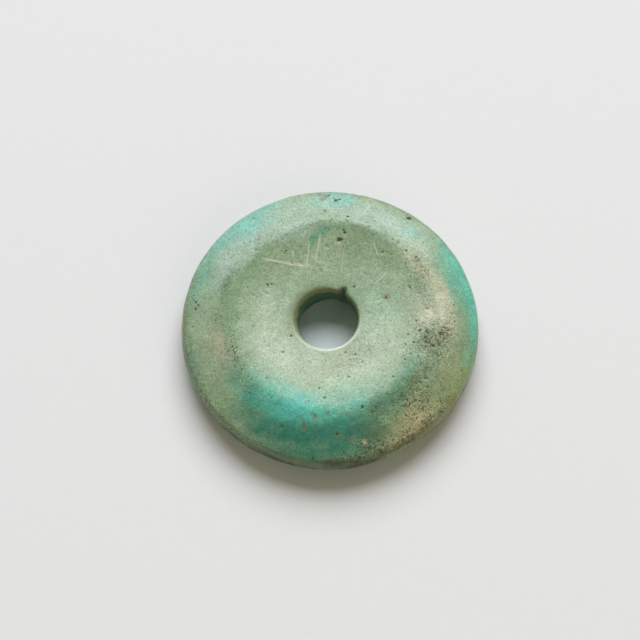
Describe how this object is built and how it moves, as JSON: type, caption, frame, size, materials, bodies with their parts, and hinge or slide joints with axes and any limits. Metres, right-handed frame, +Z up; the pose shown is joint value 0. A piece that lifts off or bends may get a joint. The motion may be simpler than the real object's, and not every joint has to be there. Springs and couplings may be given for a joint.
{
  "type": "disc bead",
  "caption": "Flat round stone bead, dished and bevelled on its upper face, with a drilled hole to thread on a cord.",
  "frame": {"origin": "middle of the bead's box, on the surface it rests on", "axes": "+Z up through the bead's thickness, from the plain face it rests on to the dished face; +Y to the far side, where the ridge is least worn; +X to the right"},
  "size_m": [0.03, 0.03, 0.0047],
  "materials": {
    "turquoise": "weathered turquoise: pale green with blue-green patches, tan and brown stains, fine dark specks and a worn, waxy shine"
  },
  "bodies": {
    "root": {"disc_bead": "turquoise"}
  },
  "joints": []
}
